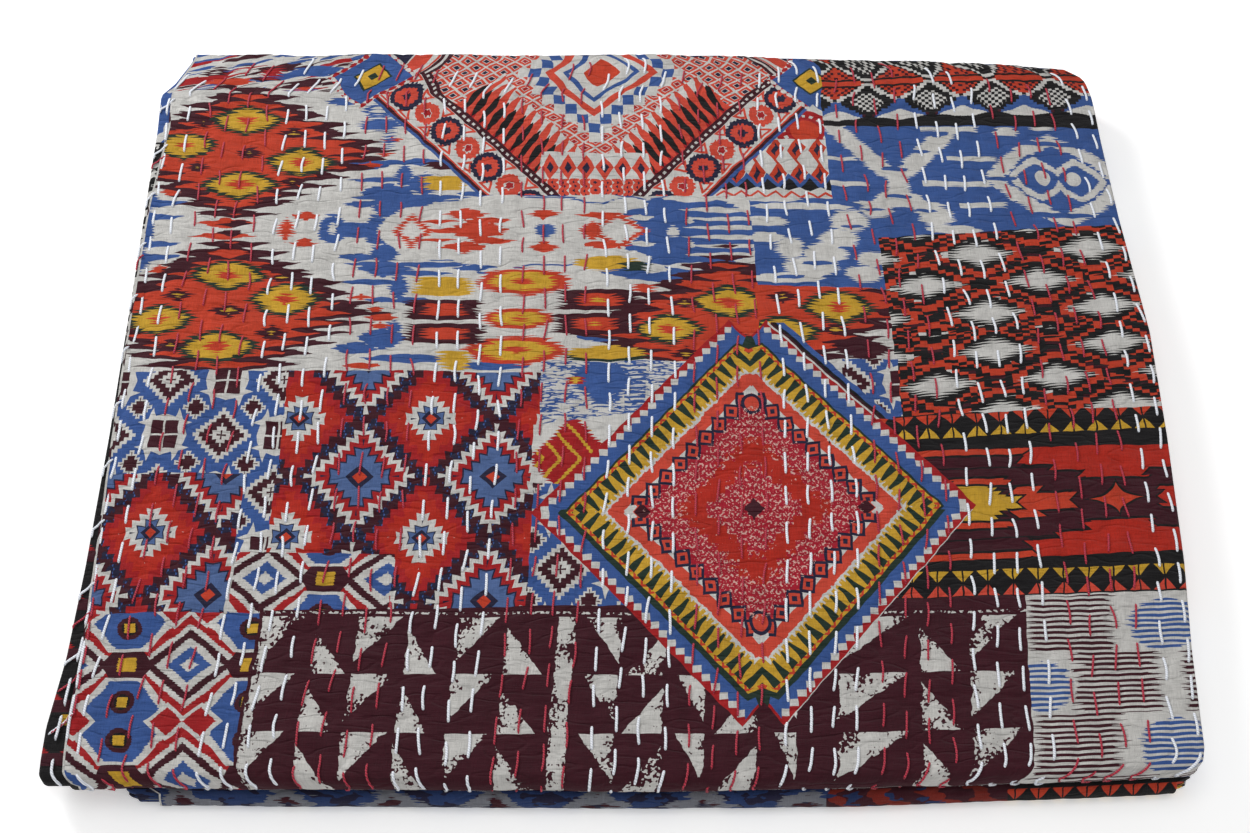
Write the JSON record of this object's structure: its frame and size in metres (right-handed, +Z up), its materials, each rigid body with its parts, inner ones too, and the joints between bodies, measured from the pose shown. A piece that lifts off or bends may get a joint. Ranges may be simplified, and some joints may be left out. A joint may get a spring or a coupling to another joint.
{
  "type": "kantha quilt",
  "caption": "Folded kantha quilt: thin patchwork-print cotton with rows of running stitch, folded into a flat stack.",
  "frame": {"origin": "on the surface the folded quilt lies on, under the middle of the stack's box", "axes": "+X along the long side of the folded stack, +Y from its front folds to its back, +Z up through the plies"},
  "size_m": [0.6936, 0.5818, 0.0297],
  "materials": {
    "quilted_cotton": "printed plain-weave cotton in off-white, orange-red, maroon, blue, mustard and black, with white and crimson running stitch, matt"
  },
  "bodies": {
    "root": {"kantha_quilt": "quilted_cotton"}
  },
  "joints": []
}
